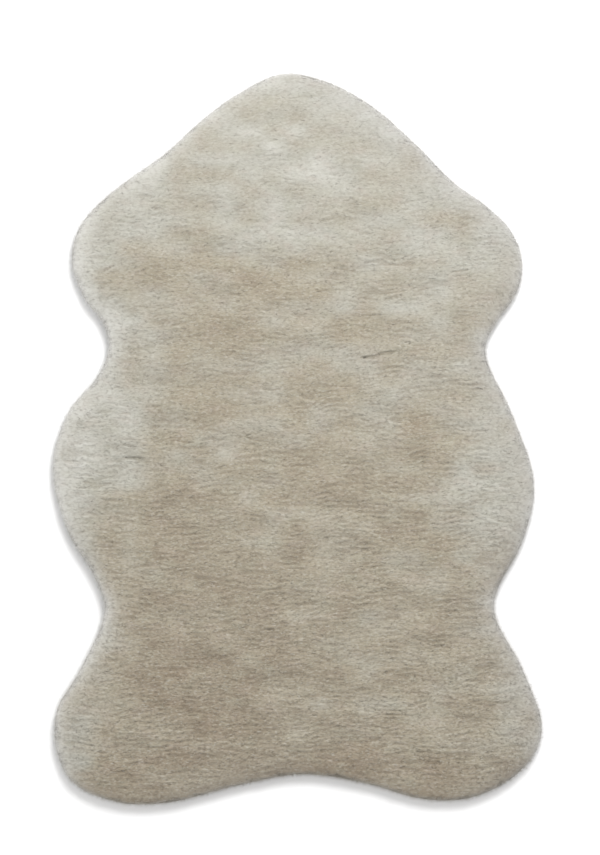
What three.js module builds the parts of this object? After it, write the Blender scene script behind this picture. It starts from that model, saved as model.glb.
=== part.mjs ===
// A shag rug in the shape of a sheepskin: one pelt with a dense clipped pile, lying flat.
// Units are millimetres. The rug lies on z = 0, x runs across it to the right and
// y runs from its hind edge to its crown, with the origin at the middle of the underside.
import * as THREE from "three";

// Driving dimensions
const rugLength = 900;
const rugWidth = 603;
const pileHeight = 26;
const fullHeightInset = 44;
const lockCount = 288;
const clumpHeight = 1.8;

// Cells of the patch that covers the top, and how far it lies in from the outline
const cellsAcross = 40;
const cellsAlong = 84;
const patchInset = 34;
const pileColour = 0xcfc7b2;

// The outline of the pile, counter-clockwise seen from above. It passes through each place.
const outline = [
  { at: "right hind outer", x: 275, y: -408 },
  { at: "right hind tip", x: 301, y: -361 },
  { at: "right thigh", x: 279, y: -287 },
  { at: "right loin", x: 241.5, y: -205 },
  { at: "right flank below", x: 278, y: -123 },
  { at: "right flank", x: 291.5, y: -56 },
  { at: "right ribs", x: 264, y: 31 },
  { at: "right waist", x: 231, y: 110 },
  { at: "right waist above", x: 248, y: 148 },
  { at: "right shoulder below", x: 270, y: 180 },
  { at: "right shoulder tip", x: 277, y: 215 },
  { at: "right shoulder above", x: 264, y: 254 },
  { at: "right shoulder top", x: 233, y: 286 },
  { at: "right neck base", x: 194, y: 314 },
  { at: "right neck", x: 147, y: 361 },
  { at: "right crown", x: 94, y: 408 },
  { at: "right crown top", x: 38, y: 439 },
  { at: "crown", x: -20, y: 450 },
  { at: "left crown", x: -76, y: 424 },
  { at: "left neck above", x: -121, y: 391 },
  { at: "left neck", x: -165, y: 351 },
  { at: "left shoulder top", x: -231, y: 303 },
  { at: "left shoulder above", x: -268, y: 264 },
  { at: "left shoulder tip", x: -280, y: 222 },
  { at: "left shoulder below", x: -263, y: 171 },
  { at: "left waist above", x: -243, y: 146 },
  { at: "left waist", x: -234, y: 112 },
  { at: "left waist below", x: -250, y: 74 },
  { at: "left ribs", x: -282, y: 36 },
  { at: "left flank", x: -303, y: -32 },
  { at: "left flank below", x: -285, y: -113 },
  { at: "left loin above", x: -252, y: -169 },
  { at: "left loin", x: -239, y: -210 },
  { at: "left thigh", x: -272, y: -289 },
  { at: "left hind upper", x: -297, y: -331 },
  { at: "left hind tip", x: -300, y: -374 },
  { at: "left hind outer", x: -280, y: -421 },
  { at: "left hind foot", x: -220, y: -448 },
  { at: "left hind lower", x: -160, y: -448 },
  { at: "left tail", x: -75, y: -427 },
  { at: "tail notch", x: 8, y: -413 },
  { at: "right tail", x: 90, y: -426 },
  { at: "right hind lower", x: 150, y: -443 },
  { at: "right hind foot", x: 212, y: -442 },
];

// Section of the rim from the floor up, measured in from the outline.
const rimSection = [
  { ring: "edge of the sole", inset: 14, z: 0 },
  { ring: "under the lower locks", inset: 6, z: 3 },
  { ring: "between the locks", inset: 3, z: 9 },
  { ring: "over the upper locks", inset: 5, z: 15 },
  { ring: "shoulder", inset: 11, z: 20.5 },
  { ring: "crest", inset: 24, z: 24.4 },
];

// Two staggered rows of locks, each in the band of the rim above the ring of that number.
const lockRows = [
  { band: 1, first: 0, reach: 0.4, tipHeight: 2.6 },
  { band: 2, first: 1, reach: 1.2, tipHeight: 8.5 },
];
const combedAside = 4;
const lockUneven = { reach: 1.6, aside: 3, height: 1.8 };

// Long low swells of the pile, wider across the rug than along it.
const swells = [
  { across: 310, along: 57, turn: 0.4, tall: 0.9 },
  { across: 170, along: 46, turn: 2.1, tall: 0.7 },
  { across: -230, along: 49, turn: 4.4, tall: 0.8 },
  { across: -120, along: 63, turn: 1.3, tall: 0.6 },
  { across: 87, along: 118, turn: 3.2, tall: 0.6 },
  { across: -95, along: 140, turn: 5.6, tall: 0.5 },
];

// A repeatable number from -0.5 to 0.5 for each pair of whole numbers.
function uneven(i, k) {
  const s = Math.sin(i * 127.1 + k * 311.7) * 43758.5453;
  return s - Math.floor(s) - 0.5;
}

function swell(x, y) {
  return swells.reduce(
    (sum, w) => sum + w.tall * Math.sin(2 * Math.PI * (x / w.across + y / w.along) + w.turn),
    0,
  );
}

// The outline as a fine line with the length travelled at each of its points
const finePerPlace = 24;
const tangentReach = 9;
const curve = new THREE.CatmullRomCurve3(
  outline.map((p) => new THREE.Vector3(p.x, p.y, 0)),
  true,
  "centripetal",
);
const fine = curve.getPoints(outline.length * finePerPlace);
const travelled = [0];
for (let i = 1; i < fine.length; i++) {
  travelled.push(travelled[i - 1] + fine[i].distanceTo(fine[i - 1]));
}
const perimeter = travelled[travelled.length - 1];

function lengthTo(place) {
  return travelled[outline.findIndex((p) => p.at === place) * finePerPlace];
}

// The outline's point at a length along it, and the way out of the rug there
function onOutline(length) {
  const wanted = ((length % perimeter) + perimeter) % perimeter;
  let low = 0;
  let high = fine.length - 1;
  while (high - low > 1) {
    const middle = (low + high) >> 1;
    if (travelled[middle] <= wanted) low = middle;
    else high = middle;
  }
  const share = (wanted - travelled[low]) / (travelled[high] - travelled[low]);
  return fine[low].clone().lerp(fine[high], share);
}

function outward(length) {
  const along = onOutline(length + tangentReach).sub(onOutline(length - tangentReach));
  return new THREE.Vector3(along.y, -along.x, 0).normalize();
}

function inside(length, inset) {
  return onOutline(length).addScaledVector(outward(length), -inset);
}

function distanceIn(x, y) {
  const here = new THREE.Vector3(x, y, 0);
  return Math.sqrt(fine.reduce((best, p) => Math.min(best, p.distanceToSquared(here)), Infinity));
}

// The height of the pile at a point on top, which rounds over towards the rim; clumps of
// pile then stand a little above or below it.
function pileTop(x, y) {
  const crest = rimSection[rimSection.length - 1];
  const share = THREE.MathUtils.clamp(
    (distanceIn(x, y) - crest.inset) / (fullHeightInset - crest.inset),
    0,
    1,
  );
  const ease = share * (2 - share);
  return crest.z + (pileHeight - crest.z) * ease + swell(x, y);
}

const positions = [];
const faces = [];

function addPoint(x, y, z) {
  positions.push(x, y, z);
  return positions.length / 3 - 1;
}

function distanceApart(a, b) {
  return Math.hypot(...[0, 1, 2].map((k) => positions[3 * a + k] - positions[3 * b + k]));
}

// A cell of four corners, halved along its shorter diagonal
function addQuad(a, b, c, d) {
  if (distanceApart(a, c) < distanceApart(b, d)) faces.push(a, b, c, a, c, d);
  else faces.push(a, b, d, b, c, d);
}

// Rings of the rim
const cellLength = perimeter / lockCount;
const rings = rimSection.map(({ inset, z }) => {
  const ring = [];
  for (let i = 0; i < lockCount; i++) {
    const length = i * cellLength;
    const p = inside(length, inset);
    const lift = swell(p.x, p.y) * (z / pileHeight) ** 2;
    ring.push(addPoint(p.x, p.y, z + lift));
  }
  return ring;
});

// A lock takes one cell of its band as its root and runs out to a point.
function addLock(row, i) {
  const next = (i + 1) % lockCount;
  const root = [
    rings[row.band][i],
    rings[row.band][next],
    rings[row.band + 1][next],
    rings[row.band + 1][i],
  ];
  const length = (i + 0.5) * cellLength;
  const short = row.reach + lockUneven.reach * (uneven(i, row.band) + 0.5);
  const tip = inside(length, short);
  const out = outward(length);
  const combed = combedAside * Math.sign(tip.x) * Math.abs(out.y);
  const aside = combed + lockUneven.aside * uneven(i, row.band + 7);
  tip.x += aside * Math.abs(out.y);
  tip.y -= aside * out.x * Math.sign(out.y);
  const height = row.tipHeight + lockUneven.height * uneven(i, row.band + 13);
  const point = addPoint(tip.x, tip.y, height);
  root.forEach((corner, k) => faces.push(corner, root[(k + 1) % root.length], point));
}

for (let band = 0; band < rimSection.length - 1; band++) {
  const row = lockRows.find((r) => r.band === band);
  for (let i = 0; i < lockCount; i++) {
    const next = (i + 1) % lockCount;
    if (row && i % 2 === row.first) addLock(row, i);
    else addQuad(rings[band][i], rings[band][next], rings[band + 1][next], rings[band + 1][i]);
  }
}

// The top inside the crest is a patch of cells between its four sides.
const corners = [
  "right hind outer",
  "right shoulder above",
  "left shoulder above",
  "left hind outer",
];
const sides = corners.map((corner, k) => {
  const cells = k % 2 === 0 ? cellsAlong : cellsAcross;
  const from = lengthTo(corner);
  const to = k === corners.length - 1 ? perimeter : lengthTo(corners[k + 1]);
  return Array.from({ length: cells + 1 }, (_, i) => {
    const length = from + ((to - from) * i) / cells;
    return { length, point: inside(length, patchInset) };
  });
});
const [rightSide, topSide, leftSide, bottomSide] = sides.map((side) => side.map((s) => s.point));

function patchPoint(column, row) {
  const u = column / cellsAcross;
  const v = row / cellsAlong;
  const bottom = bottomSide[column];
  const top = topSide[cellsAcross - column];
  const left = leftSide[cellsAlong - row];
  const right = rightSide[row];
  const across = left.clone().lerp(right, u);
  const along = bottom.clone().lerp(top, v);
  const low = bottomSide[0].clone().lerp(bottomSide[cellsAcross], u);
  const high = topSide[cellsAcross].clone().lerp(topSide[0], u);
  return across.add(along).sub(low.lerp(high, v));
}

const patch = [];
for (let row = 0; row <= cellsAlong; row++) {
  const points = [];
  for (let column = 0; column <= cellsAcross; column++) {
    const p = patchPoint(column, row);
    points.push(addPoint(p.x, p.y, pileTop(p.x, p.y) + clumpHeight * uneven(row, column)));
  }
  patch.push(points);
}
for (let row = 0; row < cellsAlong; row++) {
  for (let column = 0; column < cellsAcross; column++) {
    addQuad(
      patch[row][column],
      patch[row][column + 1],
      patch[row + 1][column + 1],
      patch[row + 1][column],
    );
  }
}

// The band between the crest and the patch joins two loops that differ in their counts.
const patchEdge = [
  ...patch.slice(0, -1).map((row) => row[cellsAcross]),
  ...patch[cellsAlong].slice(1).reverse(),
  ...patch
    .slice(1)
    .reverse()
    .map((row) => row[0]),
  ...patch[0].slice(0, -1),
];
const patchLengths = sides.flatMap((side) => side.slice(0, -1).map((s) => s.length));
const inner = patchEdge.map((index, i) => ({ index, length: patchLengths[i] }));
const outer = rings[rings.length - 1].map((index, i) => ({ index, length: i * cellLength }));

function lengthAfter(loop, i) {
  return i + 1 < loop.length ? loop[i + 1].length : i < loop.length ? perimeter : Infinity;
}

for (let i = 0, j = 0; i < outer.length || j < inner.length; ) {
  const a = outer[i % outer.length].index;
  const b = inner[j % inner.length].index;
  if (lengthAfter(outer, i) <= lengthAfter(inner, j)) {
    i++;
    faces.push(a, outer[i % outer.length].index, b);
  } else {
    j++;
    faces.push(a, inner[j % inner.length].index, b);
  }
}

// The sole is flat.
const soleRing = rings[0];
const soleOutline = soleRing.map((i) => new THREE.Vector2(positions[3 * i], positions[3 * i + 1]));
for (const [a, b, c] of THREE.ShapeUtils.triangulateShape(soleOutline, [])) {
  faces.push(soleRing[a], soleRing[c], soleRing[b]);
}

const geometry = new THREE.BufferGeometry();
geometry.setAttribute("position", new THREE.Float32BufferAttribute(positions, 3));
geometry.setIndex(faces);
geometry.computeVertexNormals();
geometry.computeBoundingBox();

// Brought to its exact width and length, over the origin
const box = geometry.boundingBox;
const size = box.getSize(new THREE.Vector3());
const middle = box.getCenter(new THREE.Vector3());
geometry.translate(-middle.x, -middle.y, 0);
geometry.scale(rugWidth / size.x, rugLength / size.y, 1);

const rug = new THREE.Mesh(
  geometry,
  new THREE.MeshStandardMaterial({ color: pileColour, roughness: 1, metalness: 0 }),
);
rug.name = "rug";

const group = new THREE.Group();
group.add(rug);

export default group;
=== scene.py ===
"""The shag rug as it looks: a thin skin, a crinkled plush top with a rolled rim, and the small
locks and loose hairs on them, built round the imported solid. Everything is in metres, in the
solid's own frame."""

import math

import bmesh
import bpy
import numpy as np
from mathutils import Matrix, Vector
from mathutils.bvhtree import BVHTree


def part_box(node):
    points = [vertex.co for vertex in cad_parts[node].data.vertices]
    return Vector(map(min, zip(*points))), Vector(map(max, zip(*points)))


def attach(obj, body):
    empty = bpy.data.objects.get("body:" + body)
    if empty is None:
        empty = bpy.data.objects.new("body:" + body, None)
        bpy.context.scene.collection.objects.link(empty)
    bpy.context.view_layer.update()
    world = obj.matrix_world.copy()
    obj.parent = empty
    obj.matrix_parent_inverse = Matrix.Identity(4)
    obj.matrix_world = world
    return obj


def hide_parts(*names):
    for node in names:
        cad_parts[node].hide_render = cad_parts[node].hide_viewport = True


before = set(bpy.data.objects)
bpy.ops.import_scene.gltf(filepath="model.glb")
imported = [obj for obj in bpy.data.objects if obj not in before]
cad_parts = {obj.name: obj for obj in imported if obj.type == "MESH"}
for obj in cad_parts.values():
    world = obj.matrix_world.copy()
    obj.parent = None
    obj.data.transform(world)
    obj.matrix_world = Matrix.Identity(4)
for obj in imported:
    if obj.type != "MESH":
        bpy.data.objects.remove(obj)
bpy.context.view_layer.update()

MM = 0.001
LOW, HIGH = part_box("rug")
RUG_LENGTH = HIGH.y - LOW.y

# The photograph's frame, and where the rug lies in it
FRAME_WIDE, FRAME_HIGH = 600, 855
RUG_MIDDLE_PX = (296.8, 439.5)
RUG_LENGTH_PX = 730

# The pelt from the floor up
SKIN_THICK = 2.4 * MM
SOLE_INSET = 14 * MM
UNDERCOAT_BELOW = 3.5 * MM
UNDERCOAT_VOXEL = 12 * MM

# Section of the pile's rim: how far in from the outline, and how high
RIM_INSET = np.array([15.0, 8.0, 4.4, 2.9, 2.2, 3.2, 5.8, 10.2, 16.0, 24.0, 34.0, 44.0]) * MM
RIM_HEIGHT = np.array([0.6, 0.9, 3.6, 8.0, 12.8, 17.3, 20.6, 22.9, 24.3, 25.2, 25.7, 26.0]) * MM
WIDEST = 4

# The top is a mesh of cells this size, which tucks under the rim's mesh at this inset
TOP_CELL = (2.0 * MM, 1.2 * MM)
SEAM_INSET = 26 * MM
SEAM_WIDE = 4 * MM
SEAM_DROP = 1.2 * MM

# No pile goes lower than this above the floor
FLOOR_GAP = 0.4 * MM


def ramp(value, start, wide, low=0):
    """From low to 1 as the value goes on from the start over this width."""
    return np.clip((value - start) / wide, low, 1)


# The outline and the height of the pile, read from the solid

WELD = 0.01 * MM
SOLE_FLAT = 0.05 * MM


def sole_loop():
    """The closed line round the flat sole, counter-clockwise, as an array of x, y."""
    bm = bmesh.new()
    bm.from_mesh(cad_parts["rug"].data)
    bmesh.ops.remove_doubles(bm, verts=bm.verts, dist=WELD)

    def on_sole(face):
        return all(v.co.z < SOLE_FLAT for v in face.verts)

    after = {}
    for face in bm.faces:
        if not on_sole(face):
            continue
        for loop in face.loops:
            others = [f for f in loop.edge.link_faces if f is not face]
            if others and not on_sole(others[0]):
                after[loop.vert.index] = loop.link_loop_next.vert.index
    bm.verts.ensure_lookup_table()
    start = here = next(iter(after))
    points = []
    while True:
        points.append(bm.verts[here].co.xy[:])
        here = after[here]
        if here == start:
            break
    bm.free()
    return np.array(points)[::-1]


# Corners of the outline are rounded over this length
CORNER_SOFT = 4 * MM


def spaced(loop, step):
    """The loop again with points a step apart, and each point's way out of the rug."""
    closed = np.vstack([loop, loop[:1]])
    lengths = np.hypot(*np.diff(closed, axis=0).T)
    travelled = np.concatenate([[0], np.cumsum(lengths)])
    count = int(travelled[-1] / step)
    at = np.arange(count) * travelled[-1] / count
    even = np.stack([np.interp(at, travelled, closed[:, k]) for k in (0, 1)], 1)
    for _ in range(int((CORNER_SOFT / step) ** 2)):
        even = (np.roll(even, 1, 0) + 2 * even + np.roll(even, -1, 0)) / 4
    along = np.roll(even, -1, 0) - np.roll(even, 1, 0)
    along /= np.hypot(*along.T)[:, None]
    return even, np.stack([along[:, 1], -along[:, 0]], 1)


POINTS_AT_ONCE = 20000


def distance_in(loop, points):
    """How far each point lies inside the loop, less than 0 outside."""
    ends = np.roll(loop, -1, 0)
    side = ends - loop
    found = np.empty(len(points))
    for k in range(0, len(points), POINTS_AT_ONCE):
        p = points[k : k + POINTS_AT_ONCE, None, :]
        t = ((p - loop) * side).sum(2) / (side**2).sum(1)
        near = loop + np.clip(t, 0, 1)[..., None] * side
        gap = np.sqrt(((p - near) ** 2).sum(2)).min(1)
        above = (loop[:, 1] > p[..., 1]) != (ends[:, 1] > p[..., 1])
        slope = side[:, 0] / np.where(side[:, 1] == 0, 1, side[:, 1])
        crossing = p[..., 0] < loop[:, 0] + (p[..., 1] - loop[:, 1]) * slope
        inside = (above & crossing).sum(1) % 2 == 1
        found[k : k + POINTS_AT_ONCE] = np.where(inside, gap, -gap)
    return found


class Grid:
    """Numbers on a grid over the rug, read anywhere by blending between cells."""

    # A place past the grid is read just inside its last cell
    PAST_END = 1.001

    def __init__(self, step, values):
        self.step = step
        self.values = values

    def __call__(self, x, y):
        rows, columns = self.values.shape
        u = np.clip((x - LOW.x) / self.step[0], 0, columns - self.PAST_END)
        v = np.clip((y - LOW.y) / self.step[1], 0, rows - self.PAST_END)
        i, j = u.astype(int), v.astype(int)
        u, v = u - i, v - j
        g = self.values
        lower = g[j, i] * (1 - u) + g[j, i + 1] * u
        upper = g[j + 1, i] * (1 - u) + g[j + 1, i + 1] * u
        return lower * (1 - v) + upper * v


def soften(values):
    """The grid's values, each blended with its neighbours' along and across."""
    for axis in (0, 1):
        values = (np.roll(values, 1, axis) + 2 * values + np.roll(values, -1, axis)) / 4
    return values


GRID_STEP = 2.5 * MM
OUTLINE_STEP = 4 * MM
HEIGHT_SOFTENINGS = 6
RAY_FROM = 1.0

# The solid's own height is read from here inwards, and takes over from the rim's section
SOLID_READ = RIM_INSET[-3]
SOLID_FROM, SOLID_WIDE = RIM_INSET[-4], RIM_INSET[-1] - RIM_INSET[-4]


def solid_height(x, y, wanted):
    """Height of the solid's top where it is wanted, and the pile's full height elsewhere."""
    tree = BVHTree.FromObject(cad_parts["rug"], bpy.context.evaluated_depsgraph_get())
    height = np.full(x.shape, RIM_HEIGHT[-1])
    down = Vector((0, 0, -1))
    for j, i in zip(*np.where(wanted)):
        hit = tree.ray_cast(Vector((x[j, i], y[j, i], RAY_FROM)), down)[0]
        if hit:
            height[j, i] = hit.z
    return height


def rug_grids():
    """Grids of the distance in from the outline and of the pile's height."""
    xs = np.arange(LOW.x, HIGH.x + GRID_STEP, GRID_STEP)
    ys = np.arange(LOW.y, HIGH.y + GRID_STEP, GRID_STEP)
    x, y = np.meshgrid(xs, ys)
    outline = spaced(SOLE, OUTLINE_STEP)[0]
    inset = distance_in(outline, np.stack([x.ravel(), y.ravel()], 1)).reshape(x.shape)
    inset = inset + SOLE_INSET
    height = solid_height(x, y, inset > SOLID_READ)
    for _ in range(HEIGHT_SOFTENINGS):
        height = soften(height)
    rim = np.interp(inset, RIM_INSET[WIDEST:], RIM_HEIGHT[WIDEST:])
    height = rim + (height - RIM_HEIGHT[-1]) * ramp(inset, SOLID_FROM, SOLID_WIDE)
    step = (GRID_STEP, GRID_STEP)
    return Grid(step, inset), Grid(step, height)


SOLE = sole_loop()
INSET, HEIGHT = rug_grids()


# Random waves, by name: width and height of their cells in mm, and their seed
WAVES = {
    "grain": (18, 12, 2),
    "bend across": (14, 8, 31),
    "bend along": (15, 10, 32),
    "wander": (60, 40, 33),
    "breaks": (12, 5, 34),
    "strength": (40, 25, 35),
    "lumps": (17, 9, 36),
    "broad swell": (62, 34, 37),
    "middle swell": (30, 16, 38),
    "broad tone": (60, 34, 51),
    "middle tone": (29, 18, 52),
    "rim fine": (3, 6, 61),
    "rim broad": (16, 13, 62),
    "rim bend": (10, 8, 63),
    "rim middle": (7, 10, 64),
    "rim slant": (11, 9, 65),
}
WAVE_CELLS = 256
WAVE_START = 100


def drift(wave, x, y):
    """Smooth random numbers from -1 to 1 that change from cell to cell of this wave."""
    wide, high, seed = WAVES[wave]
    cells = np.random.default_rng(seed).uniform(-1, 1, (WAVE_CELLS, WAVE_CELLS))
    u, v = x / (wide * MM) + WAVE_START, y / (high * MM) + WAVE_START
    i, j = np.floor(u).astype(int), np.floor(v).astype(int)
    u, v = u - i, v - j
    u, v = u * u * (3 - 2 * u), v * v * (3 - 2 * v)

    def cell(di, dj):
        return cells[(j + dj) % WAVE_CELLS, (i + di) % WAVE_CELLS]

    lower = cell(0, 0) * (1 - u) + cell(1, 0) * u
    upper = cell(0, 1) * (1 - u) + cell(1, 1) * u
    return lower * (1 - v) + upper * v


SHEET_STEP = (1.0 * MM, 0.6 * MM)
SHEET_BAND = 0.6


def wave_sheet(across, wave, seed):
    """Waves that follow each other along y about every wave and run on across x."""
    columns = int((HIGH.x - LOW.x) / SHEET_STEP[0]) + 2
    rows = int((HIGH.y - LOW.y) / SHEET_STEP[1]) + 2
    noise = np.random.default_rng(seed).normal(size=(rows, columns))
    fx = np.fft.fftfreq(columns, SHEET_STEP[0])
    fy = np.abs(np.fft.fftfreq(rows, SHEET_STEP[1]))[:, None]
    keep = np.exp(-((fx * across) ** 2) - ((fy * wave - 1) / SHEET_BAND) ** 2)
    sheet = np.fft.ifft2(np.fft.fft2(noise) * keep).real
    return Grid(SHEET_STEP, sheet / sheet.std())


LONG_WAVES = wave_sheet(across=20 * MM, wave=7.0 * MM, seed=41)
SHORT_WAVES = wave_sheet(across=3.0 * MM, wave=3.5 * MM, seed=42)


# How high the crinkles stand
CRINKLE_RISE = 0.33 * MM

# How far the crinkles bend and wander from straight lines
BEND_ACROSS = 2.5 * MM
BEND_ALONG = 1.6 * MM
WANDER = 5 * MM

# What the crinkles are made of, in shares of their rise
LONG_SHARE = 0.50
SHORT_SHARE = 0.36
LUMP_SHARE = 0.85
CRACK_SHARE = 0.4

# A crack's width, how much of the pile has cracks, and how unevenly
CRACK_WIDE = 0.35
CRACKED, CRACKED_SPREAD = 0.4, 1.2
STRENGTH_SPREAD = 0.4


def crinkle(x, y):
    """The crinkles' height, mostly from -1 to 1: uneven ridges with thin cracks between."""
    bent_x = x + BEND_ACROSS * drift("bend across", x, y)
    bent_y = y + BEND_ALONG * drift("bend along", x, y) + WANDER * drift("wander", x, y)
    long = LONG_WAVES(bent_x, bent_y)
    short = SHORT_WAVES(bent_x, bent_y)
    broken = np.clip(CRACKED + CRACKED_SPREAD * drift("breaks", x, y), 0, 1)
    crack = np.exp(-((long / CRACK_WIDE) ** 2)) * broken
    lumps = drift("lumps", x, y)
    strong = 1 + STRENGTH_SPREAD * drift("strength", x, y)
    ridges = LONG_SHARE * long + SHORT_SHARE * short
    return (ridges + LUMP_SHARE * lumps - CRACK_SHARE * crack) * strong


# Short partings in the pile: middle, half length, and turn in degrees
PARTINGS = [
    {"x": -0.200, "y": -0.023, "half": 0.015, "turn": -11},
    {"x": 0.102, "y": 0.104, "half": 0.028, "turn": 10},
]
PARTING_DEEP = 3.6 * MM
PARTING_WIDE = 1.8 * MM
PARTING_WAVER, WAVER_EVERY = 1.0 * MM, 6 * MM


def parted(x, y):
    """From 0 to 1, how deep in a parting each place lies."""
    deep = np.zeros(x.shape)
    for line in PARTINGS:
        turn = math.radians(line["turn"])
        dx, dy = x - line["x"], y - line["y"]
        along = dx * math.cos(turn) + dy * math.sin(turn)
        across = -dx * math.sin(turn) + dy * math.cos(turn)
        across = across - PARTING_WAVER * np.sin(along / WAVER_EVERY)
        end = np.clip(1 - (np.abs(along) / line["half"]) ** 4, 0, 1)
        deep = np.maximum(deep, end * np.exp(-((across / PARTING_WIDE) ** 2)))
    return deep


# The crinkles are weaker at the rim and in the crown, and stronger towards the hind end
RIM_CALM = 0.4
CROWN_CALM = 0.4
HIND_LIVELY = 0.9


def liveliness(x, y):
    """How strong the crinkles are: calm at the rim and in the crown, strong in the hind."""
    rim = ramp(INSET(x, y), start=-8 * MM, wide=32 * MM, low=RIM_CALM)
    crown = ramp(y, start=0.28, wide=0.12)
    hind = ramp(y, start=0.30, wide=-0.70)
    return rim * (1 - CROWN_CALM * crown) * (1 + HIND_LIVELY * hind)


BROAD_SWELL = 1.3 * MM
MIDDLE_SWELL = 0.7 * MM


def swells(x, y):
    """Broad soft unevenness of the pile, wider than it is long, fading out at the rim."""
    broad = BROAD_SWELL * drift("broad swell", x, y)
    middle = MIDDLE_SWELL * drift("middle swell", x, y)
    return (broad + middle) * ramp(INSET(x, y), start=0, wide=30 * MM)


def pile_top(x, y):
    """Height of the crinkled top of the pile."""
    relief = CRINKLE_RISE * liveliness(x, y) * crinkle(x, y) + swells(x, y)
    return HEIGHT(x, y) + relief - PARTING_DEEP * parted(x, y)


# How much warmer or paler a patch of the pile is
FAINT, SOFT, CLEAR, STRONG, DEEP = 0.09, 0.15, 0.21, 0.26, 0.37

# The pile's colour runs from pale in the crown to warmer and darker in the hind part, partly its
# own tone and partly painted light that fades from the crown to the hind, with these patches:
# middle, half width, half height (all in mm), and how much warmer, or paler where it is minus
PATCHES = {
    "crown": (0, 335, 75, 55, -CLEAR),
    "neck": (-10, 268, 70, 30, -SOFT),
    "neck patch": (-45, 195, 90, 26, CLEAR),
    "neck hollow": (135, 190, 40, 25, SOFT),
    "upper left": (-210, 262, 50, 25, -SOFT),
    "right shoulder": (150, 215, 80, 60, -SOFT),
    "left ribs": (-95, 130, 50, 40, CLEAR),
    "right ribs": (150, 70, 60, 40, -SOFT),
    "right belly": (145, 28, 26, 22, STRONG),
    "left belly edge": (-225, 0, 50, 60, -DEEP),
    "left margin": (-268, -40, 18, 45, -CLEAR),
    "left belly": (-105, 40, 55, 22, SOFT),
    "middle belly": (-55, 0, 35, 22, FAINT),
    "belly": (-115, -32, 60, 22, -FAINT),
    "left hollow": (-168, -80, 26, 30, SOFT),
    "middle": (75, -40, 40, 50, SOFT),
    "right belly edge": (240, -60, 50, 110, -STRONG),
    "right middle": (105, -120, 25, 22, SOFT),
    "loin": (-92, -135, 32, 50, FAINT),
    "low spine": (20, -160, 26, 22, FAINT),
    "left flank": (-185, -190, 50, 90, SOFT),
    "right flank": (140, -190, 70, 70, -FAINT),
    "right hind": (130, -340, 90, 50, -SOFT),
    "right hind edge": (260, -330, 50, 60, -STRONG),
    "left hind": (-130, -290, 70, 60, SOFT),
    "left rear": (-150, -385, 50, 16, FAINT),
    "left hind edge": (-270, -390, 40, 50, -STRONG),
    "tail": (90, -402, 50, 22, DEEP),
    "tail side": (165, -395, 26, 22, SOFT),
    "middle back": (55, -285, 50, 55, -FAINT),
}
WARMTH_MIDDLE = 0.61
WARMTH_ALONG = 0.44
WARMTH_ACROSS = 0.11
BROAD_TONE = 0.08
MIDDLE_TONE = 0.15
MARGIN_PALENESS = 0.47


def near_rim(x, y, over, power=1):
    """1 at the outline, fading inwards over this distance."""
    return np.exp(-((np.maximum(INSET(x, y), 0) / over) ** power))


def warmth_and_light(x, y):
    """From 0, pale and neutral, to 1, warmer and darker: partly the pile's own tone and partly
    painted light, paler towards the crown and at the rim by the way it faces.
    """
    # Paler towards the crown, darker towards the hind: partly the pile's tone, partly painted
    # light falling off from the crown
    found = WARMTH_MIDDLE - WARMTH_ALONG * y / RUG_LENGTH - WARMTH_ACROSS * x
    for middle_x, middle_y, wide, high, change in PATCHES.values():
        off = ((x / MM - middle_x) / wide) ** 2 + ((y / MM - middle_y) / high) ** 2
        found = found + change * np.exp(-off)
    found = found + BROAD_TONE * drift("broad tone", x, y)
    found = found + MIDDLE_TONE * drift("middle tone", x, y)
    # Painted light: the margin is painted paler by the way the rim faces
    margin = near_rim(x, y, over=40 * MM)
    return np.clip(found - MARGIN_PALENESS * margin * rim_paleness_and_light(x, y), 0, 1)


FACING_STEP = 4 * MM


def facing(x, y):
    """Which way the nearest part of the rim faces, as its x and y."""
    step = FACING_STEP
    face_x = (INSET(x - step, y) - INSET(x + step, y)) / (2 * step)
    face_y = (INSET(x, y - step) - INSET(x, y + step)) / (2 * step)
    return face_x, face_y


# How pale the rim is painted, partly its paler tips and partly painted light by the way it faces,
# and how much less where it faces right, the hind end or the crown
RIM_PALE = 0.6
LESS_RIGHT = 0.45
LESS_HIND = 0.65
LESS_CROWN = 0.55


def rim_paleness_and_light(x, y):
    """How pale the rim is, partly its paler tips and partly painted light by the way that it
    faces: most on the left, none at the hind.
    """
    face_x, face_y = facing(x, y)
    hind = np.where(face_y < 0, face_y**2, 0)
    pale = RIM_PALE - LESS_RIGHT * face_x - LESS_HIND * hind
    return np.clip(pale - LESS_CROWN * np.maximum(face_y, 0), 0, 1)


# The rim's palest tips and painted light: a broad band by its painted paleness, and a narrow one
# all round
WIDE_BAND, WIDE_BAND_POWER = 12 * MM, 1.2
THIN_BAND, THIN_BAND_SHARE = 4 * MM, 0.4


def edge_light(x, y, z):
    """From 0 to 1, how much of the pile's palest tips and painted light shows, which is at the
    rim alone, with painted shade making it less low down on the rim's side.
    """
    # Painted shade: less of the pale tips and painted light low down on the rim's side
    high = ramp(z, start=1 * MM, wide=16 * MM, low=0.4)
    wide = near_rim(x, y, WIDE_BAND, WIDE_BAND_POWER) * rim_paleness_and_light(x, y)
    thin = THIN_BAND_SHARE * near_rim(x, y, THIN_BAND, 2)
    return high * np.clip(wide + thin, 0, 1)


# How neutral the rim is, partly its own tone and partly painted shade, and how much more where it
# faces right or the crown
GREY, GREY_RIGHT, GREY_CROWN = 0.35, 0.75, 0.2


def greyness(x, y):
    """From 0 to 1, how neutral the pile is, partly its tone and partly painted shade: most at the
    rim on the right, none on the left.
    """
    face_x, face_y = facing(x, y)
    grey = np.clip(GREY + GREY_RIGHT * face_x + GREY_CROWN * face_y, 0, 1)
    return near_rim(x, y, over=18 * MM) * grey


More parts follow.
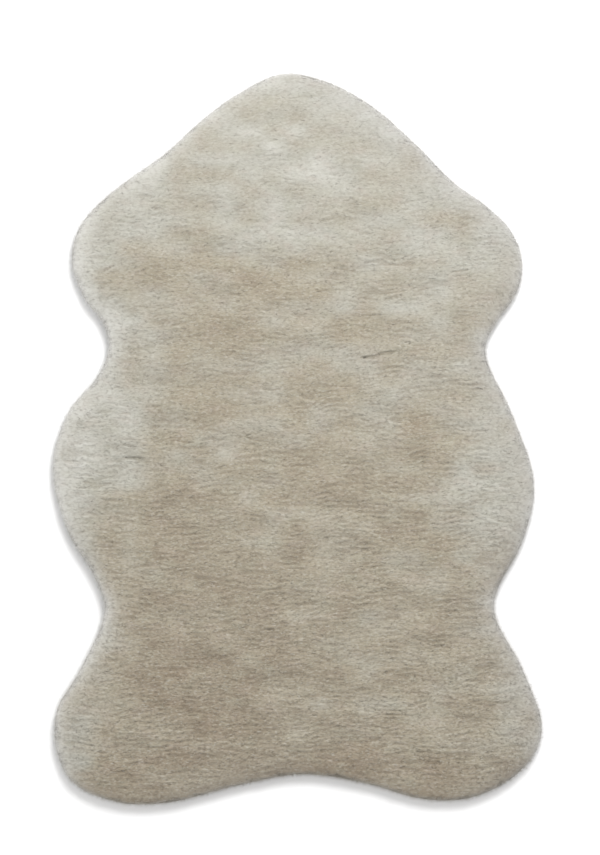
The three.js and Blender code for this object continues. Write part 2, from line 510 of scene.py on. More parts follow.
# Painted shade on the rim where it faces away from the light: how much darker where it faces
# right too, and how far it has to face the hind end
PAINTED_SHADE_RIGHT = 0.8
PAINTED_SHADE_FROM = 0.3
PAINTED_SHADE_BAND, PAINTED_SHADE_BAND_POWER = 13 * MM, 1.2


def painted_shade(x, y):
    """From 0 to 1, how much painted shade darkens the rim where it faces away from the light: at
    the hind and hind right alone.
    """
    face_x, face_y = facing(x, y)
    away = -face_y * (1 + PAINTED_SHADE_RIGHT * np.maximum(face_x, 0)) - PAINTED_SHADE_FROM
    return np.clip(away, 0, 1) * (y < 0) * near_rim(x, y, PAINTED_SHADE_BAND, PAINTED_SHADE_BAND_POWER)


# Meshes from arrays


def set_attribute(mesh, name, values):
    attribute = mesh.attributes.new(name, "FLOAT", "POINT")
    attribute.data.foreach_set("value", values.astype(np.float32))


def set_tones(mesh, points, crest):
    """The numbers at each point that the pile's material reads."""
    x, y, z = points.T
    set_attribute(mesh, "crest", crest)
    set_attribute(mesh, "warmth_and_light", warmth_and_light(x, y))
    set_attribute(mesh, "edge", edge_light(x, y, z))
    set_attribute(mesh, "grey", greyness(x, y))
    set_attribute(mesh, "painted_shade", painted_shade(x, y))


def new_object(mesh):
    piece = bpy.data.objects.new(mesh.name, mesh)
    bpy.context.scene.collection.objects.link(piece)
    return piece


def new_piece(name, points, faces, crest):
    """A smooth piece from arrays of points and of faces with as many corners each."""
    mesh = bpy.data.meshes.new(name)
    corners = faces.shape[1]
    mesh.vertices.add(len(points))
    mesh.vertices.foreach_set("co", points.astype(np.float32).ravel())
    mesh.loops.add(faces.size)
    mesh.loops.foreach_set("vertex_index", faces.astype(np.int32).ravel())
    mesh.polygons.add(len(faces))
    starts = np.arange(0, faces.size, corners, dtype=np.int32)
    mesh.polygons.foreach_set("loop_start", starts)
    mesh.update(calc_edges=True)
    mesh.shade_smooth()
    set_tones(mesh, points, crest)
    return new_object(mesh)


def repeated(pattern, count, points_each):
    """The pattern's faces once for each of this many sets of points."""
    firsts = np.arange(count)[:, None, None] * points_each
    return (pattern[None] + firsts).reshape(-1, 3)


def banded(name, along, edges, points, pattern, crest):
    """One piece for each band between the edges, by the locks' first points."""
    made = []
    each = points.shape[1]
    where = points[:, 0, along]
    for k in range(len(edges) - 1):
        mine = (where >= edges[k]) & (where < edges[k + 1])
        faces = repeated(pattern, int(mine.sum()), each)
        places = points[mine].reshape(-1, 3)
        made.append(new_piece(f"{name}_{k + 1}", places, faces, crest[mine].ravel()))
    return made


# The skin and the undercoat

SKIN_STEP = 5 * MM


def make_skin():
    """The pelt's skin: a thin flat sheet with the sole's outline."""
    loop, _ = spaced(SOLE, SKIN_STEP)
    count = len(loop)
    bm = bmesh.new()
    lower = [bm.verts.new((x, y, 0)) for x, y in loop]
    upper = [bm.verts.new((x, y, SKIN_THICK)) for x, y in loop]
    bm.faces.new(lower[::-1])
    bm.faces.new(upper)
    for i in range(count):
        k = (i + 1) % count
        bm.faces.new((lower[i], lower[k], upper[k], upper[i]))
    bmesh.ops.triangulate(bm, faces=bm.faces)
    mesh = bpy.data.meshes.new("skin")
    bm.to_mesh(mesh)
    bm.free()
    return new_object(mesh)


def apply_modifiers(piece):
    evaluated = piece.evaluated_get(bpy.context.evaluated_depsgraph_get())
    mesh = bpy.data.meshes.new_from_object(evaluated)
    old = piece.data
    piece.modifiers.clear()
    piece.data = mesh
    bpy.data.meshes.remove(old)
    mesh.name = piece.name


def remeshed_solid(name):
    """A copy of the solid with even small faces and its locks smoothed away."""
    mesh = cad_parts["rug"].data.copy()
    mesh.name = name
    mesh.materials.clear()
    piece = new_object(mesh)
    remesh = piece.modifiers.new("remesh", "REMESH")
    remesh.mode = "VOXEL"
    remesh.voxel_size = UNDERCOAT_VOXEL
    smooth = piece.modifiers.new("smooth", "SMOOTH")
    smooth.factor = 0.6
    smooth.iterations = 6
    apply_modifiers(piece)
    return piece


# Above this height, the undercoat's points follow the pile's top from below
UNDERCOAT_TOP_FROM = 12 * MM
UNDERCOAT_LIFT = 0.3 * MM


def make_undercoat():
    """The dense lower pile: the solid's own shape, a little smaller and smooth."""
    piece = remeshed_solid("undercoat")
    mesh = piece.data
    points = np.empty(3 * len(mesh.vertices))
    mesh.vertices.foreach_get("co", points)
    points = points.reshape(-1, 3)
    x, y, z = points.T
    upper = z > UNDERCOAT_TOP_FROM
    top = HEIGHT(x, y) - UNDERCOAT_BELOW
    inner = ramp(INSET(x, y), start=16 * MM, wide=12 * MM)
    lowered = np.minimum(z, top)
    z = np.where(upper, lowered * (1 - inner) + top * inner, z)
    points[:, 2] = np.maximum(z, SKIN_THICK + UNDERCOAT_LIFT)
    mesh.vertices.foreach_set("co", points.ravel())
    mesh.shade_smooth()
    mesh.update()
    # A crest tone of 0 gives the undercoat the full painted shade of the cracks
    set_tones(mesh, points, np.zeros(len(points)))
    return piece


# The crinkled top and the rolled rim

# The top's rows are shared out like this over its pieces
TOP_SHARES = (0, 0.334, 0.667, 1)


def make_top():
    """The top of the pile inside the rim, in three pieces along the rug."""
    xs = np.arange(LOW.x, HIGH.x, TOP_CELL[0])
    ys = np.arange(LOW.y, HIGH.y, TOP_CELL[1])
    x, y = np.meshgrid(xs, ys)
    inset = INSET(x, y)
    under = 1 - ramp(inset, SEAM_INSET - SEAM_WIDE, SEAM_WIDE)
    z = pile_top(x, y) - SEAM_DROP * under
    points = np.stack([x.ravel(), y.ravel(), z.ravel()], 1)
    crest = crest_tone(x, y).ravel()
    kept = inset > SEAM_INSET - SEAM_WIDE
    whole = kept[:-1, :-1] & kept[:-1, 1:] & kept[1:, :-1] & kept[1:, 1:]
    number = np.arange(x.size).reshape(x.shape)
    corners = [number[:-1, :-1], number[:-1, 1:], number[1:, 1:], number[1:, :-1]]
    quads = np.stack(corners, 2)
    made = []
    ends = np.quantile(np.where(whole)[0], TOP_SHARES).astype(int)
    ends[-1] += 1
    for k in range(len(ends) - 1):
        rows = slice(ends[k], ends[k + 1])
        used, faces = np.unique(quads[rows][whole[rows]], return_inverse=True)
        made.append(new_piece(f"top_{k + 1}", points[used], faces.reshape(-1, 4), crest[used]))
    return made


CREST_MIDDLE = 0.5
CREST_BY_RELIEF = 0.26
CREST_IN_PARTING = 0.8


def crest_tone(x, y):
    """Painted shade of the top by its relief: 0 down in a crack or a parting, where it is painted
    darkest, 1 on a ridge.
    """
    ridge = CREST_BY_RELIEF * crinkle(x, y) * liveliness(x, y)
    return CREST_MIDDLE + ridge - CREST_IN_PARTING * parted(x, y)


def rim_section():
    """The rim's section as reach out of the sole and height, and the way travelled along it."""
    section = np.stack([SOLE_INSET - RIM_INSET, RIM_HEIGHT], 1)
    steps = np.hypot(*np.diff(section, axis=0).T)
    return section, np.concatenate([[0], np.cumsum(steps)])


def on_section(at):
    """Reach and height at this way along the rim's section."""
    section, travelled = rim_section()
    return np.stack([np.interp(at, travelled, section[:, k]) for k in (0, 1)], -1)


# The pile at the crown reaches this much further out, less and less up the section
CROWN_REACH = 2.2 * MM
REACH_START, REACH_FADE = 1.5, 30 * MM

RIM_STEP = 1 * MM
RIM_LOOP, RIM_OUT = spaced(SOLE, RIM_STEP)
PERIMETER = len(RIM_LOOP) * RIM_STEP


def rim_frame(t, s):
    """Places t round the rim and s up its section, with the outward normal and the side way."""
    t = np.mod(t / RIM_STEP, len(RIM_LOOP))
    low = t.astype(int)
    high = (low + 1) % len(RIM_LOOP)
    share = (t - low)[:, None]
    base = RIM_LOOP[low] * (1 - share) + RIM_LOOP[high] * share
    out = RIM_OUT[low] * (1 - share) + RIM_OUT[high] * share
    out /= np.hypot(*out.T)[:, None]
    here = on_section(s)
    slope = on_section(s + RIM_STEP) - on_section(s - RIM_STEP)
    slope /= np.hypot(*slope.T)[:, None]
    fading = np.clip(REACH_START - s / REACH_FADE, 0, 1)[:, None]
    ahead = CROWN_REACH * np.maximum(out[:, 1:], 0) * fading
    place = np.concatenate([base + out * (here[:, :1] + ahead), here[:, 1:]], 1)
    normal = np.concatenate([out * slope[:, 1:], -slope[:, :1]], 1)
    side = np.stack([-out[:, 1], out[:, 0], np.zeros(len(out))], 1)
    return place, normal, side


CLUMP_WIDE = (5 * MM, 13 * MM)
CLUMPS_DRAWN = 600
LAST_CLUMP = 4 * MM


def clump_edges():
    """The pile at the rim parts into clumps of uneven width round the rug."""
    widths = np.random.default_rng(71).uniform(*CLUMP_WIDE, CLUMPS_DRAWN)
    edges = np.concatenate([[0], np.cumsum(widths)])
    edges = edges[edges < PERIMETER - LAST_CLUMP]
    return np.append(edges, PERIMETER)


CLUMPS = clump_edges()


def clump(t):
    """The place in its clump from -1 to 1, for each place round the rim."""
    t = np.mod(t, PERIMETER)
    k = np.clip(np.searchsorted(CLUMPS, t), 1, len(CLUMPS) - 1)
    middle = (CLUMPS[k - 1] + CLUMPS[k]) / 2
    half = (CLUMPS[k] - CLUMPS[k - 1]) / 2
    return (t - middle) / half


RIM_BEND = 2.0 * MM
RIM_BROAD = 0.40 * MM
RIM_MIDDLE = 0.40 * MM
RIM_FINE = 0.35 * MM


def rim_swell(t, s):
    """Uneven locks of wool on the rim's side, longer up and down than round the rug."""
    bent = t + RIM_BEND * drift("rim bend", t, s)
    broad = RIM_BROAD * drift("rim broad", bent, s)
    middle = RIM_MIDDLE * drift("rim middle", bent, s)
    return broad + middle + RIM_FINE * drift("rim fine", bent, s)


RIM_CELL = (2.2 * MM, 1.6 * MM)
CLUMP_RISE, CLUMP_CREST = 1.0 * MM, 0.4
RIM_CRINKLE = 1.2
RIM_LOWEST = 0.5 * MM
SIDE_TONE, SIDE_TONE_BY_SWELL = 0.55, 0.18


def rim_relief(t, s, x, y):
    """How far the roll stands out of its section: clumps below, crinkles towards the top."""
    low = ramp(s, start=20 * MM, wide=-8 * MM)
    swell = CLUMP_RISE * (CLUMP_CREST - clump(t) ** 2) * low + rim_swell(t, s)
    crinkles = RIM_CRINKLE * CRINKLE_RISE * crinkle(x, y)
    swell += crinkles * ramp(s, start=0, wide=22 * MM, low=0.3)
    return swell * ramp(s, start=4 * MM, wide=5 * MM)


def make_rim():
    """The rolled rim: its section carried round the outline, uneven with clumps."""
    travelled = rim_section()[1]
    end = np.interp(SEAM_INSET + SEAM_WIDE, RIM_INSET[WIDEST:], travelled[WIDEST:])
    rows = np.linspace(0, end, int(end / RIM_CELL[1]))
    columns = np.linspace(0, PERIMETER, int(PERIMETER / RIM_CELL[0]), endpoint=False)
    t, s = (g.ravel() for g in np.meshgrid(columns, rows))
    place, normal, _ = rim_frame(t, s)
    swell = rim_relief(t, s, place[:, 0], place[:, 1])
    points = place + normal * swell[:, None]
    x, y = points[:, 0], points[:, 1]
    over = ramp(INSET(x, y), start=5 * MM, wide=6 * MM) * (s > end / 2)
    under = np.clip((SOLE_INSET - on_section(s)[:, 0] - SEAM_INSET) / SEAM_WIDE, 0, 1)
    points[:, 2] += (pile_top(x, y) - points[:, 2]) * over - SEAM_DROP * under
    points[:, 2] = np.maximum(points[:, 2], RIM_LOWEST)
    # Painted shade on the rim's side: darker down between the swells, lighter on them
    side_tone = SIDE_TONE + SIDE_TONE_BY_SWELL * swell / MM
    crest = crest_tone(x, y) * over + side_tone * (1 - over)
    number = np.arange(len(t)).reshape(len(rows), len(columns))
    after = np.roll(number, -1, 1)
    faces = np.stack([number[:-1], after[:-1], after[1:], number[1:]], 2).reshape(-1, 4)
    return new_piece("roll", points, faces, crest)


# The pile's locks

# A small lock, a tuft or a hair is three points at its foot and one at its crest or tip
SPIKE = np.array([(0, 2, 1), (0, 1, 3), (1, 2, 3), (2, 0, 3)])
LEFT, NEAR, RIGHT, CREST = range(4)

# Locks are moved from their brickwork by this share of the gap between them
JITTER = 0.6
LOCKS_FROM = 3.5 * MM


def jittered_places(gap, rng):
    """A jittered brickwork of places on the top of the pile."""
    x, y = np.meshgrid(np.arange(LOW.x, HIGH.x, gap[0]), np.arange(LOW.y, HIGH.y, gap[1]))
    x[::2] += gap[0] / 2
    x = x.ravel() + rng.uniform(-JITTER, JITTER, x.size) * gap[0]
    y = y.ravel() + rng.uniform(-JITTER, JITTER, y.size) * gap[1]
    keep = INSET(x, y) > LOCKS_FROM
    return x[keep], y[keep]


def crests(rng, tone, shape):
    """A random crest tone for each lock, by its mean and spread, the same at all its points."""
    return np.clip(rng.normal(*tone, shape[0]), 0, 1)[:, None] * np.ones(shape[1])


TOP_LOCK_GAP = (3.5 * MM, 2.4 * MM)
TOP_LOCK_HALF = 2.7 * MM
TOP_LOCK_DEEP = 0.9 * MM
TOP_LOCK_RISE = 0.55 * MM
TOP_LOCK_FOOT = 0.45 * MM
TOP_LOCK_LIVELY = (0.3, 1.8)
TOP_LOCK_SIZES = (0.65, 1.35)
TOP_LOCK_LENGTHS = (0.75, 1.3)
TOP_LOCK_RISES = (0.2, 1.2)
TOP_LOCK_SHIFTS = (-0.4, 0.4)
TOP_LOCK_CREST = (0.62, 0.18)
TOP_LOCK_TURN, TOP_LOCK_TURN_SPREAD = 0.25, 0.2
TOP_LOCKS_TURNED_BACK = 0.4


def make_top_locks():
    """Low locks that lie across the rug and give the top its grain."""
    rng = np.random.default_rng(1)
    x, y = jittered_places(TOP_LOCK_GAP, rng)
    count = len(x)
    live = np.clip(liveliness(x, y), *TOP_LOCK_LIVELY)
    turn = TOP_LOCK_TURN * drift("grain", x, y) + rng.normal(0, TOP_LOCK_TURN_SPREAD, count)
    turn = turn + math.pi * (rng.uniform(0, 1, count) < TOP_LOCKS_TURNED_BACK)
    size = rng.uniform(*TOP_LOCK_SIZES, count)
    half = TOP_LOCK_HALF * size * rng.uniform(*TOP_LOCK_LENGTHS, count)
    deep = TOP_LOCK_DEEP * size
    rise = TOP_LOCK_RISE * live * rng.uniform(*TOP_LOCK_RISES, count)
    cos, sin = np.cos(turn), np.sin(turn)
    points = np.empty((count, 4, 3))

    def put(slot, a, b, c):
        px, py = x + a * cos - b * sin, y + a * sin + b * cos
        points[:, slot] = np.stack([px, py, pile_top(px, py) + c], 1)

    put(LEFT, -half, 0.5 * deep, -TOP_LOCK_FOOT)
    put(RIGHT, half, 0.5 * deep, -TOP_LOCK_FOOT)
    put(NEAR, rng.uniform(*TOP_LOCK_SHIFTS, count) * half, -deep, -TOP_LOCK_FOOT)
    put(CREST, rng.uniform(*TOP_LOCK_SHIFTS, count) * half, 0, rise)
    return points, crests(rng, TOP_LOCK_CREST, points.shape)


# A lock at the rim hangs over the roll: rings of three points, and its tip. For each ring and
# the tip: the way along the lock, and how far it stands off, in shares of the lock's puff
RING_PLACES = (0, 0.4, 0.75)
LOCK_PLACES = RING_PLACES + (1,)
LOCK_OFF = (-0.8, 0.6, 1.0, 0.9)


def rim_lock_faces():
    """Faces of one lock: its foot, the walls between its rings, and its tip."""
    faces = [(0, 2, 1)]
    for first in range(0, 3 * len(RING_PLACES) - 3, 3):
        for i, k in ((0, 1), (1, 2), (2, 0)):
            faces.append((first + i, first + k, first + 3 + k))
            faces.append((first + i, first + 3 + k, first + 3 + i))
    tip = 3 * len(RING_PLACES)
    faces += [(tip, tip - 3, tip - 2), (tip, tip - 2, tip - 1), (tip, tip - 1, tip - 3)]
    return np.array(faces)


def ring(k, side, over):
    """The way from a ring's middle to its point k of three."""
    angle = math.radians(90 + 120 * k)
    return side * math.cos(angle) + over * math.sin(angle)


RIM_LOCK_GAP = (2.4 * MM, 2.4 * MM)
RIM_LOCK_FROM, RIM_LOCK_TO = 8 * MM, 27 * MM
RIM_LOCK_JITTER = 0.8
RIM_LOCK_LONG = 10 * MM
RIM_LOCK_WIDE = 1.2 * MM
RIM_LOCK_TAPER = 0.45
RIM_LOCK_FLAT = 0.7
RIM_LOCK_OFF = 0.2 * MM
RIM_LOCK_LOWEST = 7 * MM
RIM_LOCK_SLANT, RIM_LOCK_SLANT_SPREAD = 0.45, 0.22
RIM_LOCK_LENGTHS = (0.5, 1.2)
RIM_LOCK_WIDTHS = (0.6, 1.4)
RIM_LOCK_PUFFS = (0.2, 1.0)
RIM_LOCK_GATHER = (0.0, 2.2)
RIM_LOCK_CREST = (0.65, 0.2)

# How far a lock puffs out, in mm, by how far up the section its top is
PUFF_AT, PUFF = [9 * MM, 18 * MM, 27 * MM], [1.1, 0.7, 0.15]


def make_rim_locks():
    """Locks that hang down the rim's side, tousled, and gathered into clumps at the floor."""
    rng = np.random.default_rng(11)
    rows = np.arange(RIM_LOCK_FROM, RIM_LOCK_TO, RIM_LOCK_GAP[1])
    columns = np.arange(0, PERIMETER, RIM_LOCK_GAP[0])
    t, top = (g.ravel() for g in np.meshgrid(columns, rows))
    count = len(t)
    t = t + rng.uniform(-RIM_LOCK_JITTER, RIM_LOCK_JITTER, count) * RIM_LOCK_GAP[0]
    top = top + rng.uniform(-RIM_LOCK_JITTER, RIM_LOCK_JITTER, count) * RIM_LOCK_GAP[1]
    long = RIM_LOCK_LONG * rng.uniform(*RIM_LOCK_LENGTHS, count)
    wide = RIM_LOCK_WIDE * rng.uniform(*RIM_LOCK_WIDTHS, count)
    puff = rng.uniform(*RIM_LOCK_PUFFS, count) * np.interp(top, PUFF_AT, PUFF) * MM
    slant = RIM_LOCK_SLANT * drift("rim slant", t, top)
    slant = slant + rng.normal(0, RIM_LOCK_SLANT_SPREAD, count)
    gather = clump(t) * rng.uniform(*RIM_LOCK_GATHER, count) * MM
    gather = gather * ramp(top, start=18 * MM, wide=-8 * MM)
    points = np.empty((count, 3 * len(RING_PLACES) + 1, 3))
    for number, (at, off) in enumerate(zip(LOCK_PLACES, LOCK_OFF)):
        s = np.maximum(top - at * long * np.cos(slant), RIM_LOCK_LOWEST)
        place, normal, side = rim_frame(t + at * long * np.sin(slant) - gather * at, s)
        centre = place + normal * (puff * off + RIM_LOCK_OFF * (at > 0))[:, None]
        if at == 1:
            points[:, -1] = centre
            continue
        half = wide * (1 - RIM_LOCK_TAPER * at)
        for k in range(3):
            around = ring(k, side, RIM_LOCK_FLAT * normal)
            points[:, 3 * number + k] = centre + around * half[:, None]
    points[..., 2] = np.maximum(points[..., 2], FLOOR_GAP)
    return points, crests(rng, RIM_LOCK_CREST, points.shape)


def spikes(root, axis, long, wide):
    """Spikes from their roots along their axes, as four points each."""
    axis = axis / np.linalg.norm(axis, axis=1)[:, None]
    side = np.cross(axis, (0.0, 0.0, 1.0))
    side /= np.linalg.norm(side, axis=1)[:, None]
    over = np.cross(side, axis)
    points = np.empty((len(root), 4, 3))
    for k in range(3):
        points[:, k] = root + ring(k, side, over) * wide[:, None]
    points[:, 3] = root + axis * long[:, None]
    points[..., 2] = np.maximum(points[..., 2], FLOOR_GAP)
    return points


TOP_TUFT_GAP = (4.4 * MM, 2.9 * MM)
TOP_TUFT_LONG = 5.2 * MM
TOP_TUFT_WIDE = 0.5 * MM
TOP_TUFT_ROOT = 0.3 * MM
TOP_TUFT_LIVELY = (0.5, 1.2)
TOP_TUFT_TURN, TOP_TUFT_TURN_SPREAD = 0.3, 0.35
TOP_TUFT_SIZES = (0.6, 1.3)
TOP_TUFT_CREST = (0.7, 0.2)
TOP_TUFTS_TURNED_BACK = 0.5

# The share of the tufts that stand, how wide they are, and how steep both kinds are
STANDING_SHARE = 0.4
STANDING_WIDE = 0.2 * MM
STANDING_LIFT = (0.3, 0.9)
LYING_LIFT = (0.0, 0.15)


def make_top_tufts():
    """Small tufts on the top, pointing across the rug: some lie flat and some stand up."""
    rng = np.random.default_rng(31)
    x, y = jittered_places(TOP_TUFT_GAP, rng)
    count = len(x)
    turn = TOP_TUFT_TURN * drift("grain", x, y) + rng.normal(0, TOP_TUFT_TURN_SPREAD, count)
    turn = turn + math.pi * (rng.uniform(0, 1, count) < TOP_TUFTS_TURNED_BACK)
    standing = rng.uniform(0, 1, count) < STANDING_SHARE
    steep, flat = rng.uniform(*STANDING_LIFT, count), rng.uniform(*LYING_LIFT, count)
    lift = np.where(standing, steep, flat)
    lift = lift * np.clip(liveliness(x, y), *TOP_TUFT_LIVELY)
    long = TOP_TUFT_LONG * rng.uniform(*TOP_TUFT_SIZES, count)
    wide = np.where(standing, STANDING_WIDE, TOP_TUFT_WIDE)
    wide = wide * rng.uniform(*TOP_TUFT_SIZES, count)
    root = np.stack([x, y, pile_top(x, y) - TOP_TUFT_ROOT], 1)
    axis = np.stack([np.cos(turn), np.sin(turn), lift], 1)
    points = spikes(root, axis, long, wide)
    crest = crests(rng, TOP_TUFT_CREST, points.shape)
    crest[standing] = 1.0
    return points, crest


HAIR_COUNT = 25000
HAIR_LONG = 5.8 * MM
HAIR_WIDE = 0.14 * MM
HAIR_ROOT = 0.5 * MM
HAIR_FROM, HAIR_TO = 13 * MM, 31 * MM
HAIR_SPREAD = 0.3
HAIR_LENGTHS = (0.5, 1.2)
HAIR_LIFT = np.array([0, 0, 0.05])


def make_rim_hairs():
    """Fine loose fibres that stand out all round the rim and soften its edge."""
    rng = np.random.default_rng(21)
    t = rng.uniform(0, PERIMETER, HAIR_COUNT)
    place, normal, _ = rim_frame(t, rng.uniform(HAIR_FROM, HAIR_TO, HAIR_COUNT))
    axis = normal + rng.normal(0, HAIR_SPREAD, (HAIR_COUNT, 3)) + HAIR_LIFT
    long = HAIR_LONG * rng.uniform(*HAIR_LENGTHS, HAIR_COUNT)
    points = spikes(place - normal * HAIR_ROOT, axis, long, np.full(HAIR_COUNT, HAIR_WIDE))
    return points, np.ones((HAIR_COUNT, 4))


# Materials


def linear(red, green, blue):
    """A colour given in 8-bit screen values."""

    def one(value):
        value /= 255
        return value / 12.92 if value <= 0.04045 else ((value + 0.055) / 1.055) ** 2.4

    return (one(red), one(green), one(blue), 1)


class Nodes:
    """A small helper that adds shader nodes and links them."""

    def __init__(self, name):
        self.material = bpy.data.materials.new(name)
        self.material.use_nodes = True
        self.tree = self.material.node_tree
        self.tree.nodes.clear()
        self.output = self.tree.nodes.new("ShaderNodeOutputMaterial")
        self.place = self.add("TexCoord").outputs["Object"]

    def put(self, node, key, value):
        """A number or colour goes on the socket itself, and another node's output is linked."""
        if isinstance(value, bpy.types.NodeSocket):
            self.tree.links.new(value, node.inputs[key])
        else:
            node.inputs[key].default_value = value

    def add(self, kind, values=(), **settings):
        node = self.tree.nodes.new("ShaderNode" + kind)
        for key, value in settings.items():
            setattr(node, key, value)
        for key, value in dict(values).items():
            self.put(node, key, value)
        return node

    def mix(self, share, first, second):
        node = self.add("Mix", data_type="RGBA")
        for key, value in ((0, share), (6, first), (7, second)):
            self.put(node, key, value)
        return node.outputs[2]

    def range(self, value, low, high, to_low=0.0, to_high=1.0, smooth=True):
        values = {"Value": value, "From Min": low, "From Max": high}
        values.update({"To Min": to_low, "To Max": to_high})
        kind = "SMOOTHSTEP" if smooth else "LINEAR"
        return self.add("MapRange", values, interpolation_type=kind).outputs["Result"]

    def toward(self, colour, other, value, low, high, most=1.0, smooth=True, times=()):
        """The colour, turned towards the other one as the value goes from low to high."""
        share = self.range(value, low, high, 0.0, most, smooth)
        for factor in times:
            share = self.add("Math", {0: share, 1: factor}, operation="MULTIPLY").outputs["Value"]
        return self.mix(share, colour, other)

    def noise(self, scale, detail=2.0, stretch=(1, 1, 1), bend=0.0):
        mapped = self.add("Mapping", {"Vector": self.place, "Scale": stretch}).outputs["Vector"]
        values = {"Vector": mapped, "Scale": scale, "Detail": detail, "Distortion": bend}
        return self.add("TexNoise", values).outputs["Fac"]

    def attribute(self, name):
        return self.add("Attribute", attribute_name=name).outputs["Fac"]

    def bump(self, height, strength, distance):
        values = {"Height": height, "Strength": strength, "Distance": distance}
        return self.add("Bump", values).outputs["Normal"]

    def finish(self, colour, roughness, specular, **more):
        """The material, with a shader of these values as its surface."""
        values = {"Base Color": colour, "Roughness": roughness, "Specular IOR Level": specular}
        values.update({key.replace("_", " "): value for key, value in more.items()})
        shader = self.add("BsdfPrincipled", values)
        self.tree.links.new(shader.outputs["BSDF"], self.output.inputs["Surface"])
        return self.material


# The pile's colours from pale to warmer, its palest tips with painted light, its tints, and the
# painted shade of its cracks and hind rim, which also darkens its strands
LIGHT = linear(194, 193, 186)
PALE = linear(173, 171, 161)
MIDDLE = linear(160, 152, 135)
WARM = linear(144, 132, 114)
TIPS_AND_LIGHT = linear(211, 210, 206)
GREENISH = linear(164, 164, 147)
PINKISH = linear(168, 154, 144)
CRACK_SHADE = linear(106, 94, 78)

# The warmth from which and at which each colour is reached
WARMTH_STOPS = ((0, 0.3, PALE), (0.3, 0.65, MIDDLE), (0.65, 1, WARM))

# How much of each other colour is mixed in at most
TINT_SHARE = 0.22
TIPS_AND_LIGHT_SHARE = 0.85
STRAND_LIGHT = 0.4
STRAND_DARK = 0.3
CRACK_DARK = 0.37
PAINTED_SHADE_DARK = 0.45

# The pile's strands show this much where it is palest, its painted crack shade this much at the
# pale rim, and this much of the colour is left where the rim is painted neutral as painted shade
PALE_STRANDS = 0.6
RIM_CRACKS = 0.3
RIM_SATURATION = 0.4

# The loose hairs' colours, painted near white as painted light
FUZZ, FUZZ_SHADE = linear(242, 241, 240), linear(230, 228, 224)
SUEDE, SUEDE_PALE, SUEDE_NAP = linear(196, 182, 158), linear(212, 201, 182), linear(170, 154, 130)
FLOOR_WHITE, FLOOR_PALE = (0.95, 0.95, 0.95, 1), (0.96, 0.96, 0.96, 1)


def pile_material():
    """Cream pile: pale to warmer by its warmth, which is partly painted light, with painted shade
    down in the cracks and at the hind rim, and pale tips with painted light at the rim."""
    n = Nodes("cream_pile")
    warm_and_light = n.attribute("warmth_and_light")
    edge = n.attribute("edge")
    colour = LIGHT
    for low, high, reached in WARMTH_STOPS:
        colour = n.toward(colour, reached, warm_and_light, low, high, smooth=False)
    tint = n.noise(45, 3, stretch=(1, 1.5, 1))
    colour = n.toward(colour, GREENISH, tint, 0.5, 0.75, most=TINT_SHARE)
    colour = n.toward(colour, PINKISH, tint, 0.5, 0.25, most=TINT_SHARE)
    strands = n.noise(420, 3, stretch=(0.6, 1.4, 1), bend=0.6)
    # Pale tips and painted light at the rim, by the edge attribute
    tips_and_light = n.toward(TIPS_AND_LIGHT, PALE, strands, 0.4, 0.75, most=0.3)
    colour = n.toward(colour, tips_and_light, edge, 0, 1, most=TIPS_AND_LIGHT_SHARE, smooth=False)
    strong = n.range(warm_and_light, 0.1, 0.8, PALE_STRANDS, 1.0, smooth=False)
    colour = n.toward(colour, LIGHT, strands, 0.5, 0.25, most=STRAND_LIGHT, times=[strong])
    colour = n.toward(colour, CRACK_SHADE, strands, 0.4, 0.75, most=STRAND_DARK, times=[strong])
    calm = n.range(edge, 0, 1, 1.0, RIM_CRACKS, smooth=False)
    crest = n.attribute("crest")
    # Painted shade down in the cracks and partings, by the crest tone
    colour = n.toward(colour, CRACK_SHADE, crest, 0.5, 0.05, most=CRACK_DARK, times=[strong, calm])
    # Painted shade at the hind rim, where it faces away from the light
    colour = n.toward(colour, CRACK_SHADE, n.attribute("painted_shade"), 0, 1, most=PAINTED_SHADE_DARK, smooth=False)
    # Painted shade: the rim's colour turned neutral where it faces right or the crown
    grey = n.range(n.attribute("grey"), 0, 1, 1.0, RIM_SATURATION, smooth=False)
    colour = n.add("HueSaturation", {"Saturation": grey, "Color": colour}).outputs["Color"]
    fibres = n.noise(900, 3, stretch=(0.5, 1.6, 1))
    return n.finish(
        colour,
        roughness=0.95,
        specular=0.15,
        Normal=n.bump(fibres, strength=0.35, distance=0.5 * MM),
        Sheen_Weight=0.25,
        Sheen_Roughness=0.6,
        Sheen_Tint=(1.0, 0.98, 0.95, 1),
    )


def fuzz_material():
    """Loose fibres painted paler than the pile they stand on: painted light for the light that
    would reach all round them.
    """
    n = Nodes("pale_fuzz")
    strands = n.noise(300, 3)
    colour = n.toward(FUZZ, FUZZ_SHADE, strands, 0.35, 0.65)
    # The hairs take the pile's warmth, partly painted light, darker towards the hind
    colour = n.toward(colour, MIDDLE, n.attribute("warmth_and_light"), 0.25, 1, most=0.7, smooth=False)
    # Painted shade on the hairs at the hind rim
    colour = n.toward(colour, CRACK_SHADE, n.attribute("painted_shade"), 0, 1, most=0.5, smooth=False)
    bump = n.bump(strands, strength=0.2, distance=0.2 * MM)
    return n.finish(colour, roughness=0.95, specular=0.15, Normal=bump, Sheen_Weight=0.25)


def skin_material():
    """Pale suede, softly clouded, with a fine nap."""
    n = Nodes("suede_skin")
    clouds = n.noise(14, 4)
    nap = n.noise(700, 3)
    colour = n.toward(SUEDE, SUEDE_PALE, clouds, 0.35, 0.65)
    colour = n.toward(colour, SUEDE_NAP, nap, 0.3, 0.7, most=0.3)
    bump = n.bump(nap, strength=0.3, distance=0.3 * MM)
    return n.finish(colour, roughness=0.9, specular=0.2, Normal=bump, Sheen_Weight=0.2)


def floor_material():
    n = Nodes("white_floor")
    colour = n.toward(FLOOR_WHITE, FLOOR_PALE, n.noise(3, 2), 0.3, 0.7)
    return n.finish(colour, roughness=1.0, specular=0.0)


# The stage

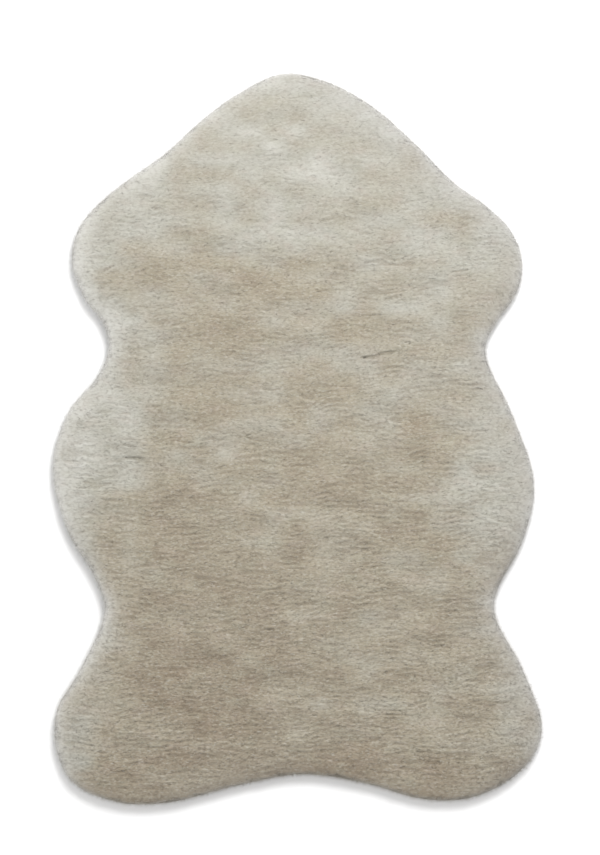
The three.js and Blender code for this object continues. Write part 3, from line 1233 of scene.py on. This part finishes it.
FLOOR_HALF = 40
FLOOR_BELOW = 0.2 * MM


def make_floor():
    mesh = bpy.data.meshes.new("floor")
    corners = [(-1, -1), (1, -1), (1, 1), (-1, 1)]
    points = [(x * FLOOR_HALF, y * FLOOR_HALF, 0) for x, y in corners]
    mesh.from_pydata(points, [], [(0, 1, 2, 3)])
    floor = new_object(mesh)
    floor.location.z = -FLOOR_BELOW
    mesh.materials.append(floor_material())


# A soft key light from beyond the crown, a little to the right
KEY_PLACE = (0.5, 1.65, 2.42)
KEY_SIZE = 1.0
KEY_POWER = 63
WORLD_POWER = 0.82


def light_scene():
    world = bpy.data.worlds.new("studio")
    world.use_nodes = True
    background = world.node_tree.nodes["Background"]
    background.inputs["Color"].default_value = (1, 1, 1, 1)
    background.inputs["Strength"].default_value = WORLD_POWER
    bpy.context.scene.world = world
    data = bpy.data.lights.new("key", "AREA")
    data.shape = "SQUARE"
    data.size = KEY_SIZE
    data.energy = KEY_POWER
    light = bpy.data.objects.new("key", data)
    light.location = KEY_PLACE
    light.rotation_euler = (-Vector(KEY_PLACE)).to_track_quat("-Z", "Y").to_euler()
    bpy.context.scene.collection.objects.link(light)
    view = bpy.context.scene.view_settings
    view.view_transform = "Standard"
    view.look = "None"


LENS = 100
SENSOR = 36

# The photograph's scale holds at this height, on the rim's side
FRAMED_HEIGHT = 9 * MM


def make_camera():
    """Straight down over the rug, framed as in the photograph."""
    per_px = RUG_LENGTH / RUG_LENGTH_PX
    data = bpy.data.cameras.new("camera")
    data.lens = LENS
    data.sensor_width = SENSOR
    data.sensor_fit = "AUTO"
    far = FRAME_HIGH * per_px * LENS / SENSOR
    camera = bpy.data.objects.new("camera", data)
    camera.location = (
        (FRAME_WIDE / 2 - RUG_MIDDLE_PX[0]) * per_px,
        (RUG_MIDDLE_PX[1] - FRAME_HIGH / 2) * per_px,
        far + FRAMED_HEIGHT,
    )
    bpy.context.scene.collection.objects.link(camera)
    bpy.context.scene.camera = camera


make_camera()
light_scene()
make_floor()

# All the pieces
skin = make_skin()
undercoat = make_undercoat()
pile = make_top() + [make_rim()]
lock_points, lock_crest = make_top_locks()
edges = np.quantile(lock_points[:, 0, 1], [0, 0.5, 1])
edges[-1] += 1
pile += banded("locks", 1, edges, lock_points, SPIKE, lock_crest)
rim_points, rim_crest = make_rim_locks()
pile += banded("rim", 0, [-1, 0, 1], rim_points, rim_lock_faces(), rim_crest)
tuft_points, tuft_crest = make_top_tufts()
pile += banded("tufts", 1, [-1, 1], tuft_points, SPIKE, tuft_crest)
hair_points, hair_crest = make_rim_hairs()
fuzz = banded("fuzz", 0, [-1, 1], hair_points, SPIKE, hair_crest)

# Their materials
skin.data.materials.append(skin_material())
pile_look = pile_material()
for piece in [undercoat] + pile:
    piece.data.materials.append(pile_look)
fuzz_look = fuzz_material()
for piece in fuzz:
    piece.data.materials.append(fuzz_look)
pile += fuzz

# What they ride on and stand for
for piece in [skin, undercoat] + pile:
    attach(piece, "root")
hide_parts("rug")
